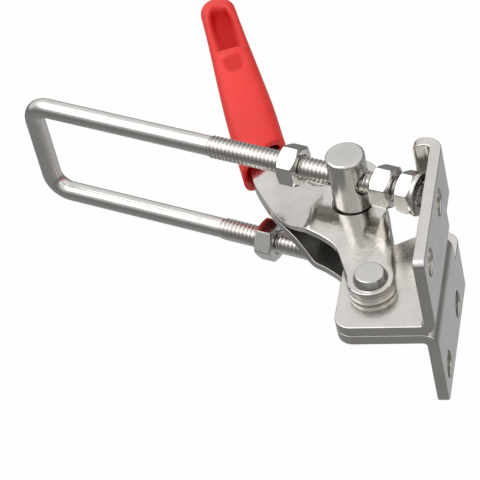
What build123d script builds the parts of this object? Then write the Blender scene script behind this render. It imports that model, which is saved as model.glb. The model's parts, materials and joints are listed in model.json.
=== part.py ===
from build123d import *
import os
from math import atan2, cos, degrees, radians, sin, tan

# Frame: +X points into the wall that the latch is screwed to, +Z runs along the hinge axes,
# +Y runs along the mounting flanges. The origin is the centre of the four mounting holes,
# on the mounting face.

# Brackets, two mirrored folded plates with their webs back to back
BRACKET_SHEET = 3.0
BRACKET_BEND_INNER = 1.0
HOLE_PITCH_Y = 21.0
HOLE_PITCH_Z = 36.0
HOLE_DIAMETER = 7.0
HOLE_TO_FREE_EDGE = 6.5
NEAR_MARGIN = 7.4
FAR_MARGIN = 17.2
FLANGE_CORNER = 1.8
WEB_DEPTH = 25.8
WEB_NEAR_CORNER = 4.5
WEB_FAR_CORNER = 4.0
WEB_FAR_SLOPE_DEG = 30.0

# Stop tab folded from the far end of each flange
TAB_HEIGHT = 16.0
TAB_REACH = 7.8
TAB_BEND_INNER = 1.5
TAB_END_ROUND = 1.2
TAB_CORNER = 3.0
TAB_STEP = 10.4

# Pivot rivet and its spacer washers
PIVOT_FROM_FACE = 17.2
PIVOT_FROM_NEAR_END = 13.3
RIVET_SHANK_DIAMETER = 7.0
RIVET_HEAD_DIAMETER = 9.2
RIVET_HEAD_TOP_DIAMETER = 7.2
RIVET_HEAD_HEIGHT = 2.0
WASHER_DIAMETER = 12.0
WASHER_THICKNESS = 2.0
FACE_GAP = 0.05
RUNNING_CLEARANCE = 0.05

# Handle halves, pressed from thinner sheet
HANDLE_SHEET = 2.0
LUG_RADIUS = 6.2
PIN_OUT = 7.6
PIN_ALONG = 27.8
PIN_HOLE_CLEARANCE = 0.1
LEAF_HALF_WIDTH = 14.0
SPREAD_START = 3.0
SPREAD_END = 11.5
BEND_RADIUS = 4.0
TANG_WIDTH = 8.4

# Dipped grip
GRIP_ANGLE_DEG = 110.0
GRIP_TIP_OUT = 61.2
GRIP_TIP_ALONG = 120.6
GRIP_LENGTH = 80.0
GRIP_MOUTH_WIDTH = 13.8
GRIP_MOUTH_DEPTH = 12.0
GRIP_TIP_WIDTH = 10.4
GRIP_TIP_DEPTH = 9.0
GRIP_EDGE_RADIUS = 3.6
GRIP_FIT = 0.1
GRIP_MOUTH_SLANT = 9.0
TANG_END_MARGIN = 20.0
DISH_FROM_TIP = 13.0
DISH_RADIUS = 45.0
DISH_DEPTH = 1.3

# Trunnion pin
PIN_DIAMETER = 10.2
PIN_LENGTH = 46.8
PIN_CHAMFER = 0.5
CROSS_HOLE_DIAMETER = 7.0

# U bolt
THREAD_DIAMETER = 6.0
SHANK_DIAMETER = 5.35
LEG_PITCH = 30.6
BOLT_ANGLE_DEG = 160.3
BOLT_REACH = 98.0
BOLT_BEND_RADIUS = 5.4
TAIL_LENGTH = 20.6
UPPER_THREAD_START = 41.0
LOWER_THREAD_START = 43.7

# Nuts
NUT_ACROSS_FLATS = 10.0
NUT_THICKNESS = 5.2
NUT_CLEARANCE = 0.02
NUT_TURN_DEG = 2.0
LOWER_OUTER_NUT_TURN_DEG = 26.0
END_NUT_THICKNESS = 5.5
COLLAR_DIAMETER = 11.4
COLLAR_THICKNESS = 1.3
COLLAR_CHAMFER = 0.4
UPPER_OUTER_NUT_AT = 16.2
LOWER_OUTER_NUT_AT = 29.0
INNER_NUT_AT = -10.6
END_NUT_AT = -17.85

# Places worked out from the sizes above
FLANGE_HEIGHT = HOLE_PITCH_Z / 2 + HOLE_TO_FREE_EDGE
NEAR_END = -HOLE_PITCH_Y / 2 - NEAR_MARGIN
FAR_END = HOLE_PITCH_Y / 2 + FAR_MARGIN
WEB_FAR_END = FAR_END - TAB_STEP
PIVOT = Vector(-PIVOT_FROM_FACE, NEAR_END + PIVOT_FROM_NEAR_END, 0)
PIN = PIVOT + Vector(-PIN_OUT, PIN_ALONG, 0)
WASHER_BOTTOM = BRACKET_SHEET + FACE_GAP
LUG_BOTTOM = WASHER_BOTTOM + WASHER_THICKNESS + FACE_GAP
LUG_TOP = LUG_BOTTOM + HANDLE_SHEET
HEAD_BOTTOM = LUG_TOP + FACE_GAP
BOLT_DIRECTION = Vector(cos(radians(BOLT_ANGLE_DEG)), sin(radians(BOLT_ANGLE_DEG)), 0)
GRIP_DIRECTION = Vector(cos(radians(GRIP_ANGLE_DEG)), sin(radians(GRIP_ANGLE_DEG)), 0)
GRIP_SIDE = Vector(GRIP_DIRECTION.Y, -GRIP_DIRECTION.X, 0)
GRIP_TIP = PIVOT + Vector(-GRIP_TIP_OUT, GRIP_TIP_ALONG, 0)
GRIP_START = GRIP_TIP - GRIP_DIRECTION * GRIP_LENGTH


def vertical_prism(face, bottom, top):
    """A flat outline in the XY plane, extruded from one height to another."""
    return extrude(Pos(0, 0, bottom) * face, amount=top - bottom)


def ring(centre, outer_radius, inner_radius, bottom, top):
    """A washer or tube standing along Z."""
    height = top - bottom
    place = Pos(centre.X, centre.Y, (bottom + top) / 2)
    return place * (Cylinder(outer_radius, height) - Cylinder(inner_radius, height))


def web_outline():
    """Plan of a bracket, from the rounded web corners to the mounting face."""
    far_drop = (WEB_DEPTH - BRACKET_SHEET) * tan(radians(WEB_FAR_SLOPE_DEG))
    points = [
        (0, NEAR_END),
        (-WEB_DEPTH, NEAR_END),
        (-WEB_DEPTH, WEB_FAR_END - far_drop),
        (-BRACKET_SHEET, WEB_FAR_END),
        (0, WEB_FAR_END),
    ]
    outline = make_face(Polyline(*points, close=True))
    outer = outline.vertices().group_by(Axis.X)[0].sort_by(Axis.Y)
    outline = fillet(outer[0], WEB_NEAR_CORNER)
    corner = outline.vertices().sort_by_distance(Vector(*points[2], 0))[0]
    return fillet(corner, WEB_FAR_CORNER)


def bracket_section():
    """L section of a bracket in the XZ plane: web at the bottom, flange at the mounting face."""
    sheet = BRACKET_SHEET
    points = [
        (-WEB_DEPTH, 0),
        (0, 0),
        (0, FLANGE_HEIGHT),
        (-sheet, FLANGE_HEIGHT),
        (-sheet, sheet),
        (-WEB_DEPTH, sheet),
    ]
    section = make_face(Polyline(*points, close=True))
    section = fillet(section.vertices().sort_by_distance((0, 0, 0))[0], BRACKET_BEND_INNER + sheet)
    section = fillet(section.vertices().sort_by_distance((-sheet, sheet, 0))[0], BRACKET_BEND_INNER)
    return Plane.XZ * section


def stop_tab():
    """Far end of the flange, folded towards the handle."""
    sheet = BRACKET_SHEET
    outer = TAB_BEND_INNER + sheet
    points = [
        (0, WEB_FAR_END - 1),
        (0, FAR_END),
        (-TAB_REACH, FAR_END),
        (-TAB_REACH, FAR_END - sheet),
        (-sheet, FAR_END - sheet),
        (-sheet, WEB_FAR_END - 1),
    ]
    strip = make_face(Polyline(*points, close=True))
    strip = fillet(strip.vertices().sort_by_distance((0, FAR_END, 0))[0], outer)
    inner_corner = (-sheet, FAR_END - sheet, 0)
    strip = fillet(strip.vertices().sort_by_distance(inner_corner)[0], TAB_BEND_INNER)
    end_corner = (-TAB_REACH, FAR_END - sheet, 0)
    strip = fillet(strip.vertices().sort_by_distance(end_corner)[0], TAB_END_ROUND)
    bottom = FLANGE_HEIGHT - TAB_HEIGHT
    front = make_face(Polyline((1, bottom), (-TAB_REACH, bottom), (-TAB_REACH, FLANGE_HEIGHT), (1, FLANGE_HEIGHT), close=True))
    front = fillet(front.vertices().group_by(Axis.X)[0], TAB_CORNER)
    tongue = extrude(Plane.XZ * front, amount=2 * FAR_END, both=True)
    return vertical_prism(strip, bottom, FLANGE_HEIGHT) & tongue


def make_upper_bracket():
    length = FAR_END - NEAR_END
    folded = extrude(Pos(0, FAR_END, 0) * bracket_section(), amount=length)
    folded &= vertical_prism(web_outline(), 0, FLANGE_HEIGHT)
    bracket = folded + stop_tab()
    near_corner = bracket.edges().filter_by(Axis.X).sort_by_distance((0, NEAR_END, FLANGE_HEIGHT))[0]
    bracket = fillet(near_corner, FLANGE_CORNER)
    hole_height = HOLE_PITCH_Z / 2
    drill = Cylinder(HOLE_DIAMETER / 2, 3 * BRACKET_SHEET, rotation=(0, 90, 0))
    for side in (-1, 1):
        bracket -= Pos(0, side * HOLE_PITCH_Y / 2, hole_height) * drill
    bore = RIVET_SHANK_DIAMETER / 2 + RUNNING_CLEARANCE
    bracket -= Pos(PIVOT.X, PIVOT.Y, 0) * Cylinder(bore, 3 * BRACKET_SHEET)
    return bracket


def make_pivot_rivet():
    shank = Cylinder(RIVET_SHANK_DIAMETER / 2, 2 * HEAD_BOTTOM)
    head = Cone(
        RIVET_HEAD_DIAMETER / 2,
        RIVET_HEAD_TOP_DIAMETER / 2,
        RIVET_HEAD_HEIGHT,
        align=(Align.CENTER, Align.CENTER, Align.MIN),
    )
    top = Pos(0, 0, HEAD_BOTTOM) * head
    return Pos(PIVOT.X, PIVOT.Y, 0) * (shank + top + mirror(top, about=Plane.XY))


def make_upper_washer():
    bore = RIVET_SHANK_DIAMETER / 2 + RUNNING_CLEARANCE
    top = WASHER_BOTTOM + WASHER_THICKNESS
    return ring(PIVOT, WASHER_DIAMETER / 2, bore, WASHER_BOTTOM, top)


def leaf_point(station, width):
    """Place on the broad part of the handle: station 0 at the pin and 1 at the grip's start."""
    along = GRIP_START - PIN
    across = Vector(-along.Y, along.X, 0).normalized()
    return PIN + along * station + across * (width * LEAF_HALF_WIDTH)


def handle_outline():
    """Leaf-shaped plan of a handle half: lug at the rivet, broad at the pin, tang in the grip."""
    reach = PIN - PIVOT
    across = reach.cross(Vector(0, 0, 1))
    lug_left = PIVOT + Vector(-LUG_RADIUS, 0, 0)
    lug_bottom = PIVOT + Vector(0, -LUG_RADIUS, 0)
    lug_right = PIVOT + Vector(LUG_RADIUS * 0.94, LUG_RADIUS * 0.34, 0)
    half_tang = GRIP_SIDE * (TANG_WIDTH / 2)
    tang_end = GRIP_TIP - GRIP_DIRECTION * TANG_END_MARGIN
    tang_start = GRIP_START + GRIP_DIRECTION * 8
    near_points = [
        lug_left,
        PIVOT + reach * 0.42 - across * 0.25,
        leaf_point(0.02, 1.02),
        leaf_point(0.38, 0.92),
        leaf_point(0.78, 0.64),
        tang_start - half_tang,
    ]
    far_points = [
        tang_start + half_tang - GRIP_DIRECTION,
        leaf_point(0.89, -0.60),
        leaf_point(0.55, -0.75),
        leaf_point(0.30, -0.94),
    ]
    mount_points = [
        leaf_point(0.11, -0.98),
        leaf_point(-0.27, -0.24),
        PIVOT + reach * 0.43 + across * 0.225,
        lug_right,
    ]
    edges = [
        Spline(*near_points, tangents=[(0, 1), GRIP_DIRECTION]),
        Line(near_points[-1], tang_end - half_tang),
        ThreePointArc(tang_end - half_tang, tang_end + GRIP_DIRECTION * (TANG_WIDTH / 2), tang_end + half_tang),
        Line(tang_end + half_tang, far_points[0]),
        Spline(*far_points),
        Line(far_points[-1], mount_points[0]),
        Spline(*mount_points),
        ThreePointArc(lug_right, lug_bottom, lug_left),
    ]
    return make_face(edges)


def bent_sheet():
    """Sheet that is spread over the brackets at the pin and closes on its twin at the grip."""
    along = GRIP_START - PIN
    turn = degrees(atan2(along.Y, along.X))
    closed = FACE_GAP
    far = 150
    outer = [(-far, LUG_TOP), (SPREAD_START, LUG_TOP), (SPREAD_END, closed + HANDLE_SHEET), (far, closed + HANDLE_SHEET)]
    path = FilletPolyline(*[(u, z - HANDLE_SHEET) for u, z in outer], radius=BEND_RADIUS)
    top = FilletPolyline(*outer, radius=BEND_RADIUS)
    ends = [Line(path @ 0, top @ 0), Line(path @ 1, top @ 1)]
    section = make_face([path, top] + ends)
    slab = extrude(Plane.XZ * section, amount=far, both=True)
    return Pos(PIN.X, PIN.Y, 0) * Rot(0, 0, turn) * slab


def make_upper_handle_half():
    half = vertical_prism(handle_outline(), 0, LUG_TOP + 1) & bent_sheet()
    rivet_bore = RIVET_SHANK_DIAMETER / 2 + RUNNING_CLEARANCE
    pin_bore = PIN_DIAMETER / 2 + PIN_HOLE_CLEARANCE
    half -= Pos(PIVOT.X, PIVOT.Y, LUG_TOP) * Cylinder(rivet_bore, 4 * HANDLE_SHEET)
    half -= Pos(PIN.X, PIN.Y, LUG_TOP) * Cylinder(pin_bore, 4 * HANDLE_SHEET)
    return half


def along_grip(distance_from_tip, side=0):
    """Place on the grip's middle plane, measured back from its tip."""
    return GRIP_TIP - GRIP_DIRECTION * distance_from_tip + GRIP_SIDE * side


def grip_plan():
    """Tapered plan with a round tip."""
    start = GRIP_MOUTH_WIDTH / 2
    end = GRIP_TIP_WIDTH / 2
    points = [
        along_grip(end, -end),
        along_grip(GRIP_LENGTH, -start),
        along_grip(GRIP_LENGTH, start),
        along_grip(end, end),
    ]
    return make_face([Polyline(*points), ThreePointArc(points[3], along_grip(0), points[0])])


def grip_side_profile():
    """Tapered side view of the grip in its own XZ plane, with the tip at the origin."""
    start = GRIP_MOUTH_DEPTH / 2
    end = GRIP_TIP_DEPTH / 2
    outline = make_face(Polyline((0, end), (0, -end), (-GRIP_LENGTH, -start), (-GRIP_LENGTH, start), close=True))
    return Plane.XZ * outline


def make_grip():
    place = Pos(GRIP_TIP.X, GRIP_TIP.Y, 0) * Rot(0, 0, GRIP_ANGLE_DEG)
    body = vertical_prism(grip_plan(), -GRIP_MOUTH_DEPTH, GRIP_MOUTH_DEPTH)
    body &= place * extrude(grip_side_profile(), amount=GRIP_MOUTH_WIDTH, both=True)
    rims = body.faces().sort_by(Axis.Z)[0].edges() + body.faces().sort_by(Axis.Z)[-1].edges()
    start_plane_edges = body.faces().sort_by(Axis.Y)[0].edges()
    body = fillet([edge for edge in rims if edge not in start_plane_edges], GRIP_EDGE_RADIUS)
    # A thumb dish on both faces near the tip
    cutter = Cylinder(DISH_RADIUS, 3 * GRIP_TIP_WIDTH, rotation=(90, 0, 0))
    for side in (-1, 1):
        height = side * (GRIP_TIP_DEPTH / 2 - DISH_DEPTH + DISH_RADIUS)
        body -= place * Pos(-DISH_FROM_TIP, 0, height) * cutter
    # Slanted mouth
    slant = degrees(atan2(GRIP_MOUTH_SLANT, GRIP_MOUTH_WIDTH))
    block = Box(60, 60, 40, align=(Align.MAX, Align.CENTER, Align.CENTER))
    mouth = along_grip(GRIP_LENGTH - GRIP_MOUTH_SLANT / 2)
    body -= Pos(mouth.X, mouth.Y, 0) * Rot(0, 0, GRIP_ANGLE_DEG + slant) * block
    # Pocket for the two tangs
    half_width = TANG_WIDTH / 2 + GRIP_FIT
    pocket = HANDLE_SHEET + FACE_GAP + GRIP_FIT
    slot = Box(GRIP_LENGTH, 2 * half_width, 2 * pocket, align=(Align.MAX, Align.CENTER, Align.CENTER))
    slot += Cylinder(half_width, 2 * pocket)
    round_end = along_grip(TANG_END_MARGIN)
    body -= Pos(round_end.X, round_end.Y, 0) * Rot(0, 0, GRIP_ANGLE_DEG) * slot
    return body


def make_trunnion_pin():
    pin = Cylinder(PIN_DIAMETER / 2, PIN_LENGTH)
    pin = chamfer(pin.edges().filter_by(GeomType.CIRCLE), PIN_CHAMFER)
    cross = Cylinder(CROSS_HOLE_DIAMETER / 2, 2 * PIN_DIAMETER, rotation=(0, 90, 0))
    for side in (-1, 1):
        pin -= Pos(0, 0, side * LEG_PITCH / 2) * Rot(0, 0, BOLT_ANGLE_DEG) * cross
    return Pos(PIN.X, PIN.Y, 0) * pin


def along_leg(side, distance):
    """Place on a leg, measured from the pin's axis, with local X along the bolt's reach."""
    at = PIN + BOLT_DIRECTION * distance
    return Pos(at.X, at.Y, side * LEG_PITCH / 2) * Rot(0, 0, BOLT_ANGLE_DEG)


def bar_along_leg(side, start, end, diameter):
    """Round bar on the line of one leg, between two distances from the pin's axis."""
    bar = Cylinder(diameter / 2, end - start, rotation=(0, 90, 0))
    return along_leg(side, (start + end) / 2) * bar


def bolt_bend(side):
    """Quarter turn between a leg and the crossbar."""
    axis = Axis((0, 0, -side * BOLT_BEND_RADIUS), (0, side, 0))
    turn = revolve(Plane.YZ * Circle(SHANK_DIAMETER / 2), axis=axis, revolution_arc=90)
    return along_leg(side, BOLT_REACH - BOLT_BEND_RADIUS) * turn


def make_u_bolt():
    """Bar bent to a U, with a thread on the tail of each leg."""
    crossbar = Cylinder(SHANK_DIAMETER / 2, LEG_PITCH - 2 * BOLT_BEND_RADIUS)
    middle = PIN + BOLT_DIRECTION * BOLT_REACH
    bolt = Pos(middle.X, middle.Y, 0) * crossbar
    for side, thread_start in ((1, UPPER_THREAD_START), (-1, LOWER_THREAD_START)):
        bolt += bolt_bend(side)
        bolt += bar_along_leg(side, thread_start, BOLT_REACH - BOLT_BEND_RADIUS, SHANK_DIAMETER)
        bolt += bar_along_leg(side, -TAIL_LENGTH, thread_start, THREAD_DIAMETER)
    return bolt


def hex_body(thickness):
    """Hexagonal prism along X with the bore for the thread."""
    prism = extrude(RegularPolygon(NUT_ACROSS_FLATS / 2, 6, major_radius=False), amount=thickness / 2, both=True)
    prism -= Cylinder(THREAD_DIAMETER / 2 + NUT_CLEARANCE, 2 * thickness)
    return Rot(0, 90, 0) * prism


def make_nut(side, distance, turn):
    return along_leg(side, distance) * Rot(turn * side, 0, 0) * hex_body(NUT_THICKNESS)


def make_end_nut(side):
    """Nut with a round collar on its outer face, at the tail of a leg."""
    hex_height = END_NUT_THICKNESS - COLLAR_THICKNESS
    body = Pos(COLLAR_THICKNESS / 2, 0, 0) * hex_body(hex_height)
    bore = THREAD_DIAMETER / 2 + NUT_CLEARANCE
    disc = Cylinder(COLLAR_DIAMETER / 2, COLLAR_THICKNESS)
    disc = chamfer(disc.edges().filter_by(GeomType.CIRCLE), COLLAR_CHAMFER)
    disc -= Cylinder(bore, 2 * COLLAR_THICKNESS)
    collar = Pos(-hex_height / 2, 0, 0) * Rot(0, 90, 0) * disc
    return along_leg(side, END_NUT_AT) * Rot(NUT_TURN_DEG * side, 0, 0) * (body + collar)


def make_parts():
    upper_bracket = make_upper_bracket()
    upper_washer = make_upper_washer()
    upper_half = make_upper_handle_half()
    lower_half = mirror(upper_half, about=Plane.XY)
    return {
        "upper_bracket": upper_bracket,
        "lower_bracket": mirror(upper_bracket, about=Plane.XY),
        "pivot_rivet": make_pivot_rivet(),
        "upper_pivot_washer": upper_washer,
        "lower_pivot_washer": mirror(upper_washer, about=Plane.XY),
        "upper_handle_half": upper_half,
        "lower_handle_half": lower_half,
        "grip": make_grip(),
        "trunnion_pin": make_trunnion_pin(),
        "u_bolt": make_u_bolt(),
        "upper_outer_nut": make_nut(1, UPPER_OUTER_NUT_AT, NUT_TURN_DEG),
        "upper_inner_nut": make_nut(1, INNER_NUT_AT, NUT_TURN_DEG),
        "upper_end_nut": make_end_nut(1),
        "lower_outer_nut": make_nut(-1, LOWER_OUTER_NUT_AT, LOWER_OUTER_NUT_TURN_DEG),
        "lower_inner_nut": make_nut(-1, INNER_NUT_AT, NUT_TURN_DEG),
        "lower_end_nut": make_end_nut(-1),
    }


if __name__ == "__main__":
    os.makedirs("parts", exist_ok=True)
    for name, shape in make_parts().items():
        export_step(shape, f"parts/{name}.step")
        print(name, round(shape.volume, 1))
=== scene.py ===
"""Over centre toggle latch: two folded brackets, a riveted lever with a red sleeve, and a
threaded U bolt held in a cross pin. Lengths are typed in millimetres and built in metres."""

import json
import math

import bmesh
import bpy
from mathutils import Matrix, Vector


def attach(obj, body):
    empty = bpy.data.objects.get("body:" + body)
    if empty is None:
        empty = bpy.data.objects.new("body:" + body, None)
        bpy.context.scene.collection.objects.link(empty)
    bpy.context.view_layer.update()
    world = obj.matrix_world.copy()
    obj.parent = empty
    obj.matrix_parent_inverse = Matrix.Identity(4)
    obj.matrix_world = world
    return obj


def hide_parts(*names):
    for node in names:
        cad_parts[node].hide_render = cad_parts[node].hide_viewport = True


bl_info = {
    "name": "Toggle Latch",
    "version": (1, 0, 0),
    "blender": (4, 5, 0),
    "location": "View3D > Sidebar > Toggle Latch",
    "description": "Over centre toggle latch with a threaded U bolt and a red sleeved lever",
    "category": "Add Mesh",
}

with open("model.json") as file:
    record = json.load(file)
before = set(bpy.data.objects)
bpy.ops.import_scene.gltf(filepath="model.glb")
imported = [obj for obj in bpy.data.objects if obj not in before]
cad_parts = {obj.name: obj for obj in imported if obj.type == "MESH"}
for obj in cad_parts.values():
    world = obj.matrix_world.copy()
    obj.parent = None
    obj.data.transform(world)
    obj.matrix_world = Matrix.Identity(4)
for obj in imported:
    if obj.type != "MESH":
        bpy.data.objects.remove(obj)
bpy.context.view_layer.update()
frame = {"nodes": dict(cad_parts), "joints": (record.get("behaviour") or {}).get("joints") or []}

MM = 0.001
JOINTS = {joint["name"]: joint for joint in frame["joints"]}
PIVOT = Vector(JOINTS["handle_hinge"]["pos_m"])
PIN = Vector(JOINTS["bolt_swing"]["pos_m"])
BRACKETS = ("upper_bracket", "lower_bracket")
HALVES = ("upper_handle_half", "lower_handle_half")
TURNED = ("pivot_rivet", "upper_pivot_washer", "lower_pivot_washer", "trunnion_pin")
BODY_OF = {
    "upper_bracket": "base",
    "lower_bracket": "base",
    "pivot_rivet": "base",
    "upper_pivot_washer": "base",
    "lower_pivot_washer": "base",
}

# The bolt's own frame: X along its reach, Z up, the origin on the pin's axis
BOLT_ANGLE = math.radians(160.3)
BOLT_PLACE = Matrix.Translation(PIN) @ Matrix.Rotation(BOLT_ANGLE, 4, "Z")

# The bar's reach, the legs' distance from the middle plane, and the bar's own sizes, in mm
BOLT_REACH = 98.0
LEG_OFFSET = 15.3
BOLT_BEND = 5.4
SHANK_RADIUS = 2.675
TAIL_LENGTH = 20.6

# Half the height of a nut's hexagon, in mm
NUT_HALF = 2.6
END_NUT_HALF = 2.1

# Heights of the lever's outer face, in mm: over the brackets, and where it meets its twin
SPREAD_HEIGHT = 7.1
CLOSED_HEIGHT = 2.05

# Where each leg's thread ends, and each nut's leg, middle and turn, in mm and degrees
THREAD_STARTS = {1: 41.0, -1: 43.7}
NUT_PLACES = {
    "upper_outer_nut": (1, 16.2, 2.0),
    "upper_inner_nut": (1, -10.6, 2.0),
    "upper_end_nut": (1, -17.2, 2.0),
    "lower_outer_nut": (-1, 29.0, 26.0),
    "lower_inner_nut": (-1, -10.6, 2.0),
    "lower_end_nut": (-1, -17.2, 2.0),
}

# The grip's own frame: X towards its tip, Z up, the origin at the tip
GRIP_ANGLE = math.radians(110.0)
GRIP_TIP = PIVOT + Vector((-61.2, 120.6, 0)) * MM
GRIP_PLACE = Matrix.Translation(GRIP_TIP) @ Matrix.Rotation(GRIP_ANGLE, 4, "Z")


def size(name, description, default, low, high):
    """A length in millimetres for the panel."""
    return bpy.props.FloatProperty(
        name=name, description=description, default=default, min=low, max=high, precision=2
    )


def colour(name, description, default):
    return bpy.props.FloatVectorProperty(
        name=name, description=description, default=default, size=3, min=0, max=1, subtype="COLOR"
    )


class LATCH_PG_sizes(bpy.types.PropertyGroup):
    edge_round: size("Sheet edge", "Rounding of the sheared sheet edges", 0.35, 0.05, 1.0)
    nut_flats: size("Nut flats", "Width across the nuts' flats", 10.0, 8.0, 11.0)
    nut_corner: size("Nut corner", "Rounding of the nuts' upright corners", 0.3, 0.05, 1.0)
    sheet: size("Lever sheet", "Thickness of the lever's sheet", 2.0, 1.0, 3.0)
    ridge_height: size("Ridge", "Height of the pressed ridge between rivet and pin", 0.3, 0.0, 1.5)
    pitch: size("Thread pitch", "Distance between threads on the legs", 1.17, 0.5, 1.5)
    thread_depth: size("Thread depth", "Depth of the thread's grooves", 0.66, 0.2, 0.9)
    grip_wall: size("Sleeve wall", "Thickness of the red sleeve at its mouth", 1.5, 0.8, 2.5)


class LATCH_PG_colours(bpy.types.PropertyGroup):
    sheet: colour("Sheet", "Folded and pressed stainless sheet", (0.69, 0.665, 0.63))
    bar: colour("Bar", "Bright stainless bar, pin and nuts", (0.74, 0.72, 0.69))
    sleeve: colour("Sleeve", "Dipped red sleeve", (0.80, 0.014, 0.008))
    floor: colour("Floor", "Pale studio floor", (0.86, 0.86, 0.86))


def sizes():
    return bpy.context.scene.latch_sizes


def colours():
    return bpy.context.scene.latch_colours


# Materials


def new_material(name):
    material = bpy.data.materials.new(name)
    material.use_nodes = True
    nodes = material.node_tree.nodes
    return material, nodes, material.node_tree.links, nodes["Principled BSDF"]


def ramp(nodes, low, high, low_at=0.3, high_at=0.7):
    """Colour ramp between two grey or RGB values."""
    node = nodes.new("ShaderNodeValToRGB")
    ends = node.color_ramp.elements
    for end, value, place in ((ends[0], low, low_at), (ends[1], high, high_at)):
        rgb = value if isinstance(value, tuple) else (value, value, value)
        end.color = (*rgb, 1)
        end.position = place
    return node


def object_noise(nodes, links, scale, detail=4.0, stretch=(1, 1, 1), turn=(0, 0, 0)):
    """Noise on Object coordinates, its cell size in 1/m, stretched and turned as asked."""
    place = nodes.new("ShaderNodeTexCoord")
    mapping = nodes.new("ShaderNodeMapping")
    mapping.inputs["Scale"].default_value = stretch
    mapping.inputs["Rotation"].default_value = turn
    noise = nodes.new("ShaderNodeTexNoise")
    noise.inputs["Scale"].default_value = scale
    noise.inputs["Detail"].default_value = detail
    links.new(place.outputs["Object"], mapping.inputs["Vector"])
    links.new(mapping.outputs["Vector"], noise.inputs["Vector"])
    return noise


def shade(value, factor):
    return tuple(min(1.0, channel * factor) for channel in value)


def steel(name, base, rough, grain=(1, 1, 1), bump=0.08, cloud=0.06, wave_cell=420, wave_depth=0.0003):
    """Satin steel: cloudy colour, drawn or rolled grain in the gloss, and a fine uneven surface."""
    material, nodes, links, shader = new_material(name)
    shader.inputs["Metallic"].default_value = 1.0
    clouds = object_noise(nodes, links, 160, 3)
    tint = ramp(nodes, shade(base, 1 - cloud), shade(base, 1 + cloud))
    links.new(clouds.outputs["Fac"], tint.inputs["Fac"])
    links.new(tint.outputs["Color"], shader.inputs["Base Color"])
    lines = object_noise(nodes, links, 1400, 5, grain)
    gloss = ramp(nodes, rough * 0.8, rough * 1.25)
    links.new(lines.outputs["Fac"], gloss.inputs["Fac"])
    links.new(gloss.outputs["Color"], shader.inputs["Roughness"])
    waves = object_noise(nodes, links, wave_cell, 2)
    soft = nodes.new("ShaderNodeBump")
    soft.inputs["Strength"].default_value = bump
    soft.inputs["Distance"].default_value = wave_depth
    links.new(waves.outputs["Fac"], soft.inputs["Height"])
    fine = nodes.new("ShaderNodeBump")
    fine.inputs["Strength"].default_value = bump
    fine.inputs["Distance"].default_value = 0.00004
    links.new(lines.outputs["Fac"], fine.inputs["Height"])
    links.new(soft.outputs["Normal"], fine.inputs["Normal"])
    links.new(fine.outputs["Normal"], shader.inputs["Normal"])
    return material


def folded_steel():
    return bpy.data.materials.get("satin_sheet") or steel(
        "satin_sheet", tuple(colours().sheet), 0.23, (1, 1, 0.12), 0.035, 0.05
    )


def pressed_steel():
    return bpy.data.materials.get("pressed_sheet") or steel(
        "pressed_sheet", tuple(colours().sheet), 0.15, (1, 1, 1), 0.12, 0.06, 600, 0.0004
    )


# Painted shade: a darker, rougher copy of the sheet for the lever's inner faces and the lug's edge faces,
# where shade falls between the halves and the washers
def shaded_inner_steel():
    return bpy.data.materials.get("shaded_inner_sheet") or steel(
        "shaded_inner_sheet", shade(tuple(colours().sheet), 0.56), 0.34, (1, 1, 1), 0.1, 0.1
    )


def bar_steel():
    return bpy.data.materials.get("bright_bar") or steel(
        "bright_bar", tuple(colours().bar), 0.22, (1, 1, 1), 0.06, 0.04
    )


def nut_steel():
    return bpy.data.materials.get("polished_nut") or steel(
        "polished_nut", tuple(colours().bar), 0.16, (1, 1, 1), 0.05, 0.03
    )


def pin_steel():
    return bpy.data.materials.get("turned_pin") or steel(
        "turned_pin", shade(tuple(colours().bar), 0.84), 0.22, (1, 1, 1), 0.02, 0.05
    )


def sleeve_vinyl():
    found = bpy.data.materials.get("dipped_vinyl")
    if found:
        return found
    material, nodes, links, shader = new_material("dipped_vinyl")
    base = tuple(colours().sleeve)
    clouds = object_noise(nodes, links, 90, 3)
    tint = ramp(nodes, shade(base, 0.92), (min(1, base[0] * 1.05), base[1] * 1.25, base[2] * 1.25))
    links.new(clouds.outputs["Fac"], tint.inputs["Fac"])
    # Painted shade: the thumb dish's colour is darkened and its specular lowered in step with its depth,
    # standing in for the shade in the hollow
    dish_shade_mask = nodes.new("ShaderNodeAttribute")
    dish_shade_mask.attribute_name = "dish_shade_mask"
    dish_shade_colour = nodes.new("ShaderNodeMix")
    dish_shade_colour.data_type = "RGBA"
    dish_shade_colour.inputs["B"].default_value = (base[0] * 0.58, base[1] * 0.3, base[2] * 0.3, 1)
    links.new(dish_shade_mask.outputs["Fac"], dish_shade_colour.inputs["Factor"])
    links.new(tint.outputs["Color"], dish_shade_colour.inputs["A"])
    links.new(dish_shade_colour.outputs["Result"], shader.inputs["Base Color"])
    sheen = ramp(nodes, 0.62, 0.1, 0.0, 1.0)
    links.new(dish_shade_mask.outputs["Fac"], sheen.inputs["Fac"])
    links.new(sheen.outputs["Color"], shader.inputs["Specular IOR Level"])
    pores = object_noise(nodes, links, 900, 4)
    gloss = ramp(nodes, 0.34, 0.46)
    links.new(pores.outputs["Fac"], gloss.inputs["Fac"])
    links.new(gloss.outputs["Color"], shader.inputs["Roughness"])
    bump = nodes.new("ShaderNodeBump")
    bump.inputs["Strength"].default_value = 0.12
    bump.inputs["Distance"].default_value = 0.0002
    waves = object_noise(nodes, links, 260, 3)
    links.new(waves.outputs["Fac"], bump.inputs["Height"])
    links.new(bump.outputs["Normal"], shader.inputs["Normal"])
    shader.inputs["Subsurface Weight"].default_value = 0.06
    shader.inputs["Subsurface Radius"].default_value = (0.002, 0.0005, 0.0003)
    return material


# Mesh helpers


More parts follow.
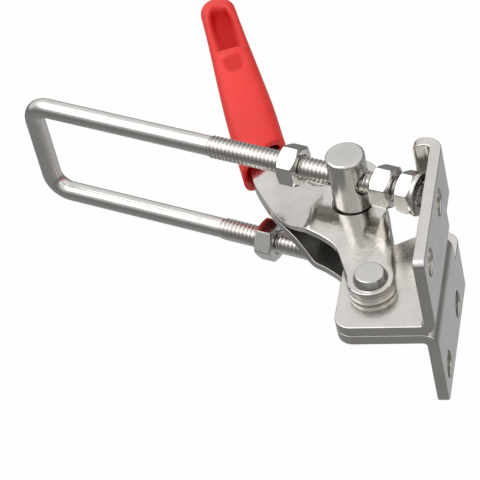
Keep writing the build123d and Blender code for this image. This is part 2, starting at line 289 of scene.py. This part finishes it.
def finish_piece(bm, name, material, body, replaced, smooth_angle=35.0):
    """Turns a bmesh, already in place, into the object that stands for CAD nodes."""
    mesh = bpy.data.meshes.new(name)
    bm.to_mesh(mesh)
    bm.free()
    mesh.materials.append(material)
    for face in mesh.polygons:
        face.use_smooth = True
    mesh.set_sharp_from_angle(angle=math.radians(smooth_angle))
    piece = bpy.data.objects.new(name, mesh)
    bpy.context.scene.collection.objects.link(piece)
    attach(piece, body)
    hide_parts(*replaced)
    even = piece.modifiers.new("even_shading", "WEIGHTED_NORMAL")
    even.keep_sharp = True
    return piece


def merged_copy(node):
    """The CAD node's mesh as a bmesh with its doubles merged and its flat faces whole."""
    bm = bmesh.new()
    bm.from_mesh(frame["nodes"][node].data)
    bmesh.ops.remove_doubles(bm, verts=bm.verts, dist=0.002 * MM)
    bmesh.ops.dissolve_limit(
        bm,
        angle_limit=math.radians(0.5),
        verts=bm.verts,
        edges=bm.edges,
        use_dissolve_boundaries=False,
        delimit=set(),
    )
    return bm


def round_edges(bm, offset, segments=2, angle=38.0):
    """Bevels every edge that turns by more than the angle."""
    limit = math.radians(angle)
    edges = [e for e in bm.edges if e.is_manifold and e.calc_face_angle(0) > limit]
    bmesh.ops.bevel(
        bm,
        geom=edges,
        offset=offset,
        offset_type="OFFSET",
        segments=segments,
        profile=0.5,
        affect="EDGES",
        clamp_overlap=False,
        material=-1,
    )


def smooth_step(low, high, value):
    t = max(0.0, min(1.0, (value - low) / (high - low)))
    return t * t * (3 - 2 * t)


def bar_ring(bm, centre, radius, segments=32):
    """A ring of vertices across X, to be swept along a leg."""
    turn = Matrix.Translation(centre) @ Matrix.Rotation(math.pi / 2, 4, "Y")
    made = bmesh.ops.create_circle(bm, cap_ends=False, radius=radius, segments=segments, matrix=turn)
    return list({edge for vert in made["verts"] for edge in vert.link_edges})


def pull(bm, edges, offset):
    """Extrudes an edge loop by an offset and returns the new loop."""
    made = bmesh.ops.extrude_edge_only(bm, edges=edges)["geom"]
    bmesh.ops.translate(bm, verts=[g for g in made if isinstance(g, bmesh.types.BMVert)], vec=offset)
    return [g for g in made if isinstance(g, bmesh.types.BMEdge)]


# Brackets


class LATCH_OT_brackets(bpy.types.Operator):
    """Gives the two folded brackets their rounded sheared edges and satin finish"""

    bl_idname = "latch.brackets"
    bl_label = "Folded brackets"

    def execute(self, context):
        for node in BRACKETS:
            bm = merged_copy(node)
            round_edges(bm, sizes().edge_round * MM, 3)
            finish_piece(bm, node + "_plate", folded_steel(), "base", [node])
        return {"FINISHED"}


# Lever halves


def catmull(points, t):
    """Place at t, from 0 to 1, on a smooth curve through the points."""
    last = len(points) - 1
    at = min(last - 1e-6, max(0.0, t * last))
    i = int(at)
    f = at - i
    p0 = points[max(0, i - 1)]
    p1 = points[i]
    p2 = points[i + 1]
    p3 = points[min(last, i + 2)]
    a = (p1 * 2) + (p2 - p0) * f
    b = (p0 * 2 - p1 * 5 + p2 * 4 - p3) * f * f
    c = (p1 * 3 - p0 - p2 * 3 + p3) * f * f * f
    return (a + b + c) * 0.5


def lug_arc(start, end, count, radius=6.1):
    """Points round the rivet, angles in degrees from +X."""
    points = []
    for k in range(count):
        angle = math.radians(start + (end - start) * k / count)
        points.append(Vector((-17.2 + radius * math.cos(angle), -4.6 + radius * math.sin(angle))))
    return points


def grip_point(from_tip, side):
    """A place on the lever's middle plane in mm, measured back from the grip's tip."""
    place = GRIP_PLACE @ Vector((-from_tip * MM, -side * MM, 0))
    return Vector((place.x / MM, place.y / MM))


def near_edge():
    """Plan of the lever's edge on the hook side, from beside the rivet to the tang's end."""
    points = lug_arc(-140, -172, 2)
    points += [
        Vector((-23.5, -3.4)),
        Vector((-25.2, 1.2)),
        Vector((-27.8, 7.0)),
        Vector((-32.2, 11.1)),
        Vector((-37.6, 14.7)),
        Vector((-43.2, 20.2)),
        Vector((-47.2, 25.0)),
        Vector((-51.0, 30.8)),
        Vector((-54.6, 37.6)),
    ]
    points += [grip_point(73, -4.2), grip_point(62, -4.2), grip_point(50, -4.2), grip_point(34, -4.0)]
    return points


def wall_edge():
    """Plan of the lever's edge on the mounting side, station by station with near_edge."""
    points = lug_arc(-40, -8, 2)
    points += [
        Vector((-11.3, -3.4)),
        Vector((-12.4, 1.2)),
        Vector((-13.2, 8.0)),
        Vector((-14.9, 16.0)),
        Vector((-17.0, 25.0)),
        Vector((-19.6, 34.6)),
        Vector((-24.0, 39.0)),
        Vector((-33.4, 41.8)),
        Vector((-43.2, 46.2)),
    ]
    points += [grip_point(69, 4.2), grip_point(60, 4.2), grip_point(50, 4.2), grip_point(34, 4.0)]
    return points


def even_stations(near, wall, count):
    """Values from 0 to 1 whose places, midway between two edges, are evenly spaced."""
    fine = [k / 800 for k in range(801)]
    middle = [catmull(near, t).lerp(catmull(wall, t), 0.5) for t in fine]
    lengths = [0.0]
    for before, after in zip(middle, middle[1:]):
        lengths.append(lengths[-1] + (after - before).length)
    stations = []
    k = 0
    for i in range(count + 1):
        wanted = lengths[-1] * i / count
        while k < 799 and lengths[k + 1] < wanted:
            k += 1
        part = (wanted - lengths[k]) / (lengths[k + 1] - lengths[k])
        stations.append(fine[k] + part / 800)
    return stations


def soft_ramp(t, foot=0.3, top=0.28):
    """Straight ramp from 0 to 1 whose two ends are rounded off."""
    if t <= -top:
        return 0.0
    if t >= 1 + foot:
        return 1.0
    if t < top:
        return (t + top) ** 2 / (4 * top)
    if t > 1 - foot:
        return 1 - (1 + foot - t) ** 2 / (4 * foot)
    return t


def spread_height(x, y):
    """Height of a half's outer face in mm: spread over the brackets, closed on its twin at the grip."""
    high = SPREAD_HEIGHT
    low = CLOSED_HEIGHT
    crease = -36.7 + 0.15 * (y - 14.2)
    foot = -43.9 - 0.145 * (y - 22.0)
    near = soft_ramp((crease - x) / max(3.4, min(12.0, crease - foot)))
    reach = (x + 24.8) * -0.834 + (y - 23.2) * 0.551
    behind_leg = y - 29.4 + 0.6 * min(0.0, x + 34.0)
    far = smooth_step(8.0, 14.0, reach) * smooth_step(0.2, 3.4, behind_leg)
    return high - (high - low) * max(near, far)


def pressed_height(x, y):
    """Height of the upper half's outer face, in mm, with its pressed ridge."""
    along = (x + 17.2) * -0.2637 + (y + 4.6) * 0.9646
    across = (x + 17.2) * 0.9646 + (y + 4.6) * 0.2637
    ridge = sizes().ridge_height * math.exp(-(((across + 0.4) / 4.2) ** 2))
    ridge *= smooth_step(7.0, 15.0, along) * (1 - smooth_step(26.0, 34.0, along))
    return spread_height(x, y) + ridge


class LATCH_OT_lever(bpy.types.Operator):
    """Presses the two lever halves, which straddle the brackets and close at the grip"""

    bl_idname = "latch.lever"
    bl_label = "Lever halves"

    def execute(self, context):
        for node, side in zip(HALVES, (1, -1)):
            bm = self.pressed_half()
            if side < 0:
                bmesh.ops.scale(bm, vec=(1, 1, -1), verts=bm.verts)
                bmesh.ops.recalc_face_normals(bm, faces=bm.faces)
            piece = finish_piece(bm, node + "_pressing", pressed_steel(), "handle", [node])
            piece.data.materials.append(shaded_inner_steel())
            cut_holes(piece, side)
        return {"FINISHED"}

    def pressed_half(self):
        near = near_edge()
        wall = wall_edge()
        rows = 130
        stations = even_stations(near, wall, rows)
        bm = bmesh.new()
        bmesh.ops.create_grid(bm, x_segments=20, y_segments=rows, size=0.5)
        for vert in bm.verts:
            t = stations[round((vert.co.y + 0.5) * rows)]
            s = vert.co.x + 0.5
            place = catmull(near, t).lerp(catmull(wall, t), s)
            round_end = lug_arc(-140 + 100 * s, 0, 1)[0] - near[0].lerp(wall[0], s)
            place += round_end * max(0.0, 1 - t * 7)
            edge = (1 - s) * (catmull(near, t) - catmull(wall, t)).length
            lip = 0.45 * smooth_step(1.5, 0.0, edge) if edge < 1.5 else 0.0
            lip *= smooth_step(-6.0, 2.0, place.y) * (1 - smooth_step(17.0, 21.0, place.y))
            vert.co = Vector((place.x, place.y, pressed_height(place.x, place.y) - lip)) * MM
        bmesh.ops.recalc_face_normals(bm, faces=bm.faces)
        if sum(face.normal.z for face in bm.faces) < 0:
            bmesh.ops.reverse_faces(bm, faces=bm.faces)
        bmesh.ops.solidify(bm, geom=bm.faces[:], thickness=sizes().sheet * MM)
        bmesh.ops.recalc_face_normals(bm, faces=bm.faces)
        # Painted shade: faces turned inwards, and the sheet's edge faces round the lug, take the darker copy
        # of the sheet
        for face in bm.faces:
            lug_side = face.normal.z < 0.4 and face.calc_center_median().y < -2 * MM
            face.material_index = 1 if face.normal.z < -0.4 or lug_side else 0
        round_edges(bm, 0.35 * MM, 3, 60.0)
        return bm


def cut_holes(piece, side):
    """Cuts the pin's hole, with its small clearance, and the rivet's hole."""
    bm = bmesh.new()
    for centre, radius in ((PIN + Vector((-0.15, 0, 0)) * MM, 5.6), (PIVOT, 3.55)):
        place = Matrix.Translation(centre + Vector((0, 0, side * 6 * MM)))
        bmesh.ops.create_cone(
            bm,
            cap_ends=True,
            segments=64,
            radius1=radius * MM,
            radius2=radius * MM,
            depth=12 * MM,
            matrix=place,
        )
    mesh = bpy.data.meshes.new("hole_cutter")
    bm.to_mesh(mesh)
    bm.free()
    cutter = bpy.data.objects.new("hole_cutter", mesh)
    bpy.context.scene.collection.objects.link(cutter)
    cut = piece.modifiers.new("holes", "BOOLEAN")
    cut.operation = "DIFFERENCE"
    cut.solver = "EXACT"
    cut.object = cutter
    bpy.context.view_layer.update()
    depsgraph = bpy.context.evaluated_depsgraph_get()
    done = bpy.data.meshes.new_from_object(piece.evaluated_get(depsgraph))
    piece.modifiers.remove(cut)
    piece.data = done
    done.set_sharp_from_angle(angle=math.radians(35))
    bpy.data.objects.remove(cutter)


# Grip


def grip_half_width(a):
    """Half width of the sleeve at distance a from its tip, without the round end, in mm."""
    return 5.0 + 1.85 * smooth_step(0, 62, a)


def grip_half_depth(a):
    return 3.0 + 1.6 * smooth_step(2, 14, a) + 1.5 * smooth_step(8, 74, a)


class LATCH_OT_grip(bpy.types.Operator):
    """Lofts the dipped sleeve with its round tip, thumb dish and slanted mouth"""

    bl_idname = "latch.grip"
    bl_label = "Red sleeve"

    def execute(self, context):
        bm = bmesh.new()
        segments = 96
        tip_stations = [0.12, 0.5, 1.1, 1.9, 2.7]
        dish_stations = [3.5 + k * 0.5 for k in range(78)]
        plain_stations = [43 + k for k in range(37)]
        stations = tip_stations + dish_stations + plain_stations
        loop = self.ring(bm, segments)
        loops = []
        for a in stations:
            loop = pull(bm, loop, Vector((0, 0, 0)))
            loops.append((loop, a, 0.0))
        wall = sizes().grip_wall
        for inset, back in ((0.25, 0.35), (0.7, 0.45), (wall, 0.1), (wall, -2.0), (wall, -8.0), (wall, -14.0)):
            loop = pull(bm, loop, Vector((0, 0, 0)))
            loops.append((loop, 79.0 + back, inset))
        dish_shade_mask = bm.verts.layers.float.new("dish_shade_mask")
        for loop, a, inset in loops:
            self.shape(loop, a, inset, dish_shade_mask)
        bmesh.ops.holes_fill(bm, edges=loops[-1][0], sides=0)
        first = [v for v in bm.verts if v.tag]
        bmesh.ops.pointmerge(bm, verts=first, merge_co=Vector((0, 0, 0)))
        bmesh.ops.recalc_face_normals(bm, faces=bm.faces)
        bmesh.ops.transform(bm, matrix=GRIP_PLACE, verts=bm.verts)
        finish_piece(bm, "grip_sleeve", sleeve_vinyl(), "handle", ["grip"], 60.0)
        return {"FINISHED"}

    def ring(self, bm, segments):
        """The first ring, round the tip, whose vertices keep their angle in X for shaping."""
        made = bmesh.ops.create_circle(bm, cap_ends=False, radius=0.001, segments=segments)
        turn = Matrix.Rotation(math.pi / 2, 4, "Y")
        bmesh.ops.transform(bm, matrix=turn, verts=made["verts"])
        for vert in made["verts"]:
            vert.tag = True
        return list({edge for vert in made["verts"] for edge in vert.link_edges})

    def shape(self, loop, a, inset, dish_shade_mask):
        """Moves a loop out to the sleeve's section at distance a from the tip."""
        tip_round = 6.0
        cap = math.sqrt(max(0.0, 1 - ((tip_round - a) / tip_round) ** 2)) if a < tip_round else 1.0
        half_width = grip_half_width(a) * cap - inset
        half_depth = grip_half_depth(a) * (cap**0.8) - inset
        for vert in {v for edge in loop for v in edge.verts}:
            vert.tag = False
            angle = math.atan2(vert.co.z, vert.co.y)
            c = math.cos(angle)
            s = math.sin(angle)
            power = 2 / 2.6
            y = half_width * math.copysign(abs(c) ** power, c)
            z = half_depth * math.copysign(abs(s) ** power, s)
            x = smooth_step(40, 79, a) * (4.5 - 0.66 * y) - a
            depth = hollow_depth(-x, y, half_width + 0.001) if abs(z) > 1.0 else 0.0
            # Painted shade mask: the dish's depth, which darkens the sleeve's colour there
            vert[dish_shade_mask] = max(0.0, min(1.0, depth / 1.5))
            z = math.copysign(max(min(0.4, abs(z)), abs(z) - depth), z)
            vert.co = Vector((x, y, z)) * MM


def hollow_depth(a, y, half_width):
    """Depth of the thumb dish, of its raised crest and of the small dip behind it."""
    side = min(1.0, abs(y) / half_width)
    reach = min(1.0, max(0.0, (18.0 - a) / 13.0))
    half = 0.86 * math.sqrt(1 - reach**2)
    floor = 2.7 - 1.1 * smooth_step(9.0, 28.0, a)
    dish = floor * smooth_step(5.0, 10.0, a) * (1 - smooth_step(27.0, 28.9, a))
    dish *= 1 - smooth_step(half * 0.3, half + 0.01, side)
    crest = 0.35 * math.exp(-(((a - 29.9) / 1.2) ** 2)) * (1 - smooth_step(0.4, 0.9, side))
    tongue = 0.62 * math.sqrt(max(0.0, 1 - max(0.0, (a - 32.0) / 9.0) ** 2))
    dip = 0.75 * smooth_step(31.0, 32.6, a) * (1 - smooth_step(37.0, 41.0, a))
    dip *= 1 - smooth_step(tongue * 0.4, tongue + 0.01, side)
    return dish + dip - crest


# U bolt


class LATCH_OT_bolt(bpy.types.Operator):
    """Bends the U bolt from round bar and rolls the threads on its legs"""

    bl_idname = "latch.bolt"
    bl_label = "Threaded U bolt"

    def execute(self, context):
        reach = BOLT_REACH * MM
        corner = LEG_OFFSET * MM
        bend = BOLT_BEND * MM
        shank = SHANK_RADIUS * MM
        bm = bmesh.new()
        start = THREAD_STARTS[1] * MM
        loop = bar_ring(bm, Vector((start, 0, corner)), shank)
        ends = [loop]
        loop = pull(bm, loop, Vector((reach - bend - start, 0, 0)))
        loop = self.bend(bm, loop, Vector((reach - bend, 0, corner - bend)))
        loop = pull(bm, loop, Vector((0, 0, -2 * (corner - bend))))
        loop = self.bend(bm, loop, Vector((reach - bend, 0, bend - corner)))
        loop = pull(bm, loop, Vector((THREAD_STARTS[-1] * MM - reach + bend, 0, 0)))
        ends.append(loop)
        for end in ends:
            bmesh.ops.holes_fill(bm, edges=end, sides=0)
        bmesh.ops.recalc_face_normals(bm, faces=bm.faces)
        for side in (1, -1):
            leg = self.threaded_leg(THREAD_STARTS[side] * MM, side * corner)
            mesh = bpy.data.meshes.new("leg")
            leg.to_mesh(mesh)
            leg.free()
            bm.from_mesh(mesh)
            bpy.data.meshes.remove(mesh)
        bmesh.ops.transform(bm, matrix=BOLT_PLACE, verts=bm.verts)
        finish_piece(bm, "threaded_u_bolt", bar_steel(), "bolt", ["u_bolt"], 40.0)
        return {"FINISHED"}

    def bend(self, bm, loop, centre):
        """Carries a loop round a quarter turn of the bar."""
        made = bmesh.ops.spin(
            bm,
            geom=loop + list({v for e in loop for v in e.verts}),
            cent=centre,
            axis=Vector((0, 1, 0)),
            dvec=Vector((0, 0, 0)),
            angle=math.pi / 2,
            steps=14,
            use_merge=False,
            use_normal_flip=False,
            use_duplicate=False,
        )
        return [g for g in made["geom_last"] if isinstance(g, bmesh.types.BMEdge)]

    def threaded_leg(self, start, height):
        """A helical thread from the tail to the plain shank, closed at both ends."""
        pitch = sizes().pitch * MM
        major = 3.0 * MM
        minor = major - sizes().thread_depth * MM
        tail = -TAIL_LENGTH * MM
        length = start - tail
        turns = int(length / pitch) + 3
        steps = 24
        bm = bmesh.new()
        profile = ((0, major), (0.13, major), (0.42, minor), (0.71, minor), (1, major))
        verts = [bm.verts.new((tail + (x - 2) * pitch, 0, r)) for x, r in profile]
        edges = [bm.edges.new(pair) for pair in zip(verts, verts[1:])]
        bmesh.ops.spin(
            bm,
            geom=verts + edges,
            cent=Vector((0, 0, 0)),
            axis=Vector((1, 0, 0)),
            dvec=Vector((pitch / steps, 0, 0)),
            angle=2 * math.pi * turns,
            steps=steps * turns,
            use_merge=False,
            use_normal_flip=False,
            use_duplicate=False,
        )
        bmesh.ops.remove_doubles(bm, verts=bm.verts, dist=0.002 * MM)
        for place, normal in ((tail, -1), (start, 1)):
            geom = bm.verts[:] + bm.edges[:] + bm.faces[:]
            bmesh.ops.bisect_plane(
                bm,
                geom=geom,
                dist=1e-7,
                plane_co=Vector((place, 0, 0)),
                plane_no=Vector((normal, 0, 0)),
                clear_outer=True,
            )
        for vert in bm.verts:
            from_tail = vert.co.x - tail
            from_start = start - vert.co.x
            radius = math.hypot(vert.co.y, vert.co.z)
            limit = min(2.3 * MM + from_tail, 2.72 * MM + from_start * 0.5)
            if radius > limit:
                vert.co.y *= limit / radius
                vert.co.z *= limit / radius
        bmesh.ops.holes_fill(bm, edges=[e for e in bm.edges if e.is_boundary], sides=0)
        bmesh.ops.recalc_face_normals(bm, faces=bm.faces)
        bmesh.ops.translate(bm, verts=bm.verts, vec=Vector((0, 0, height)))
        return bm


# Pin, rivet, washers and nuts


class LATCH_OT_turned(bpy.types.Operator):
    """Finishes the cross pin, the pivot rivet and its washers"""

    bl_idname = "latch.turned"
    bl_label = "Pin, rivet and washers"

    def execute(self, context):
        for node in TURNED:
            bm = merged_copy(node)
            round_edges(bm, (0.5 if "washer" in node else 0.25) * MM, 3)
            body = BODY_OF.get(node, "bolt")
            finish_piece(bm, node + "_turned", pin_steel(), body, [node])
        return {"FINISHED"}


def hex_radius(angle):
    """Distance from a nut's axis to its side, at an angle in degrees from a corner, in mm."""
    flat = sizes().nut_flats / 2
    rounding = sizes().nut_corner
    middle = (flat - rounding) / math.cos(math.radians(30))
    beta = math.radians(abs((angle + 30) % 60 - 30))
    tangent = math.atan2(rounding * 0.5, middle + rounding * math.cos(math.radians(30)))
    if beta < tangent:
        return middle * math.cos(beta) + math.sqrt(rounding**2 - (middle * math.sin(beta)) ** 2)
    return flat / math.cos(math.radians(30) - beta)


class LATCH_OT_nuts(bpy.types.Operator):
    """Turns the chamfered nuts and the collared end nuts"""

    bl_idname = "latch.nuts"
    bl_label = "Nuts"

    def execute(self, context):
        for node, (side, at, turn) in NUT_PLACES.items():
            collared = "end" in node
            half = END_NUT_HALF if collared else NUT_HALF
            bm = bmesh.new()
            self.hexagon(bm, half)
            if collared:
                self.collar(bm, -half)
            place = Matrix.Translation(Vector((at, 0, side * LEG_OFFSET)) * MM)
            place @= Matrix.Rotation(math.radians(turn * side), 4, "X")
            bmesh.ops.transform(bm, matrix=BOLT_PLACE @ place, verts=bm.verts)
            finish_piece(bm, node + "_hex", nut_steel(), "bolt", [node], 28.0)
        return {"FINISHED"}

    def loops(self, bm, segments, profile):
        """Sweeps a closed profile round X; each of its points gives x and radius at an angle."""
        turn = Matrix.Rotation(math.pi / 2, 4, "Y")
        made = bmesh.ops.create_circle(bm, cap_ends=False, radius=MM, segments=segments, matrix=turn)
        loop = list({edge for vert in made["verts"] for edge in vert.link_edges})
        placed = [(loop, profile[0])]
        for point in profile[1:] + profile[:1]:
            loop = pull(bm, loop, Vector((0, 0, 0)))
            placed.append((loop, point))
        for loop, point in placed:
            for vert in {v for edge in loop for v in edge.verts}:
                angle = math.atan2(vert.co.y, vert.co.z)
                x, radius = point(math.degrees(angle))
                vert.co = Vector((x, radius * math.sin(angle), radius * math.cos(angle))) * MM
        bmesh.ops.remove_doubles(bm, verts=bm.verts, dist=0.001 * MM)
        bmesh.ops.recalc_face_normals(bm, faces=bm.faces)

    def hexagon(self, bm, half):
        """The nut's body: countersunk bore, flat faces and a crown that cuts the corners."""
        crown_start = sizes().nut_flats / 2 - 0.3

        def flat(x, radius):
            return lambda angle: (x, radius)

        def crowned(side, inset, lift):
            def point(angle):
                radius = hex_radius(angle) - inset
                drop = max(0.0, radius - crown_start) * 0.62 + lift
                return side * (half - drop), radius

            return point

        profile = []
        for side in (-1, 1):
            ends = [flat(side * (half - 0.8), 2.7), flat(side * half, 3.45), flat(side * half, crown_start)]
            ends += [crowned(side, 0.10, 0.0), crowned(side, 0.02, 0.02), crowned(side, 0.0, 0.10)]
            profile += ends if side < 0 else ends[::-1]
        self.loops(bm, 180, profile)

    def collar(self, bm, x):
        """Round collar on the end nut's outer face."""
        points = ((0.1, 2.7), (0.1, 5.2), (-0.12, 5.55), (-0.45, 5.7), (-0.85, 5.7), (-1.18, 5.5), (-1.3, 5.2))
        points += ((-1.3, 3.45), (-0.7, 2.7))
        ring = bmesh.new()
        self.loops(ring, 96, [lambda angle, p=p: (x + p[0], p[1]) for p in points])
        mesh = bpy.data.meshes.new("collar")
        ring.to_mesh(mesh)
        ring.free()
        bm.from_mesh(mesh)
        bpy.data.meshes.remove(mesh)


# Stage


def stage_plane(name, centre, half, material):
    bm = bmesh.new()
    bmesh.ops.create_grid(bm, x_segments=1, y_segments=1, size=half)
    bmesh.ops.translate(bm, verts=bm.verts, vec=centre)
    mesh = bpy.data.meshes.new(name)
    bm.to_mesh(mesh)
    bm.free()
    mesh.materials.append(material)
    plane = bpy.data.objects.new(name, mesh)
    bpy.context.scene.collection.objects.link(plane)
    return plane


def floor_material():
    """Pale floor: white to the camera with a faint shadow, and a painted pool of light, fading outwards, for
    the metal's reflections.
    """
    material, nodes, links, shader = new_material("pale_floor")
    shader.inputs["Base Color"].default_value = (*colours().floor, 1)
    shader.inputs["Roughness"].default_value = 0.9
    shader.inputs["Specular IOR Level"].default_value = 0.0
    light_path = nodes.new("ShaderNodeLightPath")
    place = nodes.new("ShaderNodeTexCoord")
    spread = nodes.new("ShaderNodeVectorMath")
    spread.operation = "LENGTH"
    shift = nodes.new("ShaderNodeVectorMath")
    shift.operation = "SUBTRACT"
    shift.inputs[1].default_value = (0.0, 0.11, 0.0)
    links.new(place.outputs["Object"], shift.inputs[0])
    links.new(shift.outputs[0], spread.inputs[0])
    # Painted pool of light for glossy rays: bright near the latch, fading outwards
    painted_pool = ramp(nodes, (0.52, 0.535, 0.55), (0.14, 0.14, 0.14), 0.08, 0.48)
    painted_pool.color_ramp.elements.new(0.22).color = (0.22, 0.22, 0.22, 1)
    links.new(spread.outputs["Value"], painted_pool.inputs["Fac"])
    seen = nodes.new("ShaderNodeMix")
    seen.data_type = "RGBA"
    links.new(light_path.outputs["Is Camera Ray"], seen.inputs["Factor"])
    links.new(painted_pool.outputs["Color"], seen.inputs["A"])
    seen.inputs["B"].default_value = (1, 1, 1, 1)
    glow = nodes.new("ShaderNodeEmission")
    links.new(seen.outputs["Result"], glow.inputs["Color"])
    share = nodes.new("ShaderNodeMath")
    share.operation = "MAXIMUM"
    links.new(light_path.outputs["Is Glossy Ray"], share.inputs[0])
    links.new(light_path.outputs["Is Camera Ray"], share.inputs[1])
    part = nodes.new("ShaderNodeMath")
    part.operation = "MULTIPLY"
    part.inputs[1].default_value = 0.93
    links.new(share.outputs[0], part.inputs[0])
    mix = nodes.new("ShaderNodeMixShader")
    links.new(part.outputs[0], mix.inputs[0])
    links.new(shader.outputs[0], mix.inputs[1])
    links.new(glow.outputs[0], mix.inputs[2])
    links.new(mix.outputs[0], nodes["Material Output"].inputs["Surface"])
    return material


def lamp(name, place, target, width, height, power):
    data = bpy.data.lights.new(name, "AREA")
    data.shape = "RECTANGLE"
    data.size = width
    data.size_y = height
    data.energy = power
    light = bpy.data.objects.new(name, data)
    light.location = place
    light.rotation_euler = (Vector(target) - Vector(place)).to_track_quat("-Z", "Y").to_euler()
    bpy.context.scene.collection.objects.link(light)
    return light


def sky():
    """White to the camera, and soft studio walls to the metal and the lighting."""
    world = bpy.data.worlds.new("studio")
    bpy.context.scene.world = world
    world.use_nodes = True
    nodes = world.node_tree.nodes
    links = world.node_tree.links
    back = nodes["Background"]
    light_path = nodes.new("ShaderNodeLightPath")
    place = nodes.new("ShaderNodeTexCoord")
    split = nodes.new("ShaderNodeSeparateXYZ")
    links.new(place.outputs["Generated"], split.inputs[0])
    walls = ramp(nodes, 0.20, 1.0, 0.05, 0.88)
    for at, value in ((0.28, 0.42), (0.48, 0.68), (0.64, 0.90)):
        walls.color_ramp.elements.new(at).color = (value, value, value, 1)
    links.new(split.outputs["Z"], walls.inputs["Fac"])
    toward = nodes.new("ShaderNodeVectorMath")
    toward.operation = "DOT_PRODUCT"
    toward.inputs[1].default_value = (-0.70, 0.70, 0.14)
    links.new(place.outputs["Generated"], toward.inputs[0])
    side = ramp(nodes, 0.0, 0.82, 0.45, 0.85)
    links.new(toward.outputs["Value"], side.inputs["Fac"])
    wider = nodes.new("ShaderNodeMix")
    wider.data_type = "RGBA"
    wider.blend_type = "LIGHTEN"
    wider.inputs["Factor"].default_value = 1.0
    links.new(walls.outputs["Color"], wider.inputs["A"])
    links.new(side.outputs["Color"], wider.inputs["B"])
    mix = nodes.new("ShaderNodeMix")
    mix.data_type = "RGBA"
    links.new(light_path.outputs["Is Camera Ray"], mix.inputs["Factor"])
    links.new(wider.outputs["Result"], mix.inputs["A"])
    mix.inputs["B"].default_value = (1, 1, 1, 1)
    links.new(mix.outputs["Result"], back.inputs["Color"])
    back.inputs["Strength"].default_value = 1.0


class LATCH_OT_stage(bpy.types.Operator):
    """Sets the pale floor, the soft lights, the sky and the camera"""

    bl_idname = "latch.stage"
    bl_label = "Studio and camera"

    def execute(self, context):
        scene = context.scene
        stage_plane("floor", Vector((0, 0, -0.11)), 3.0, floor_material())
        sky()
        centre = Vector((-0.04, 0.04, 0))
        lamp("key", centre + Vector((-0.52, -0.03, 0.86)), centre, 0.95, 0.95, 3.6)
        lamp("fill", centre + Vector((0.7, -0.5, 0.5)), centre, 0.5, 0.5, 0.4)
        data = bpy.data.cameras.new("camera")
        data.sensor_width = 36.0
        data.lens = 195.2
        data.clip_start = 0.01
        camera = bpy.data.objects.new("camera", data)
        azimuth = math.radians(18.78)
        elevation = math.radians(42.45)
        roll = math.radians(-14.29)
        forward = Vector(
            (
                -math.sin(azimuth) * math.cos(elevation),
                math.cos(azimuth) * math.cos(elevation),
                -math.sin(elevation),
            )
        )
        right = Vector((math.cos(azimuth), math.sin(azimuth), 0))
        up = right.cross(forward)
        turned_right = right * math.cos(roll) + up * math.sin(roll)
        turned_up = -right * math.sin(roll) + up * math.cos(roll)
        place = -forward * 0.65125 - right * 0.04793 + up * 0.02073 + Vector((0, 0.0037, 0))
        axes = Matrix((turned_right, turned_up, -forward)).transposed().to_4x4()
        camera.matrix_world = Matrix.Translation(place) @ axes
        scene.collection.objects.link(camera)
        scene.camera = camera
        scene.view_settings.view_transform = "Standard"
        return {"FINISHED"}


class LATCH_PT_panel(bpy.types.Panel):
    """Sizes, colours and build steps of the latch"""

    bl_idname = "LATCH_PT_panel"
    bl_label = "Toggle Latch"
    bl_space_type = "VIEW_3D"
    bl_region_type = "UI"
    bl_category = "Toggle Latch"

    def draw(self, context):
        layout = self.layout
        for group in (context.scene.latch_sizes, context.scene.latch_colours):
            box = layout.box()
            for name in group.__annotations__:
                box.prop(group, name)
        for operator in STEPS:
            layout.operator(operator.bl_idname)


STEPS = (
    LATCH_OT_brackets,
    LATCH_OT_lever,
    LATCH_OT_grip,
    LATCH_OT_bolt,
    LATCH_OT_turned,
    LATCH_OT_nuts,
    LATCH_OT_stage,
)
CLASSES = (LATCH_PG_sizes, LATCH_PG_colours, *STEPS, LATCH_PT_panel)


def register():
    for item in CLASSES:
        bpy.utils.register_class(item)
    bpy.types.Scene.latch_sizes = bpy.props.PointerProperty(type=LATCH_PG_sizes)
    bpy.types.Scene.latch_colours = bpy.props.PointerProperty(type=LATCH_PG_colours)


def unregister():
    del bpy.types.Scene.latch_sizes
    del bpy.types.Scene.latch_colours
    for item in reversed(CLASSES):
        bpy.utils.unregister_class(item)


def main():
    register()
    bpy.ops.latch.brackets()
    bpy.ops.latch.lever()
    bpy.ops.latch.grip()
    bpy.ops.latch.bolt()
    bpy.ops.latch.turned()
    bpy.ops.latch.nuts()
    bpy.ops.latch.stage()


if __name__ == "__main__":
    main()
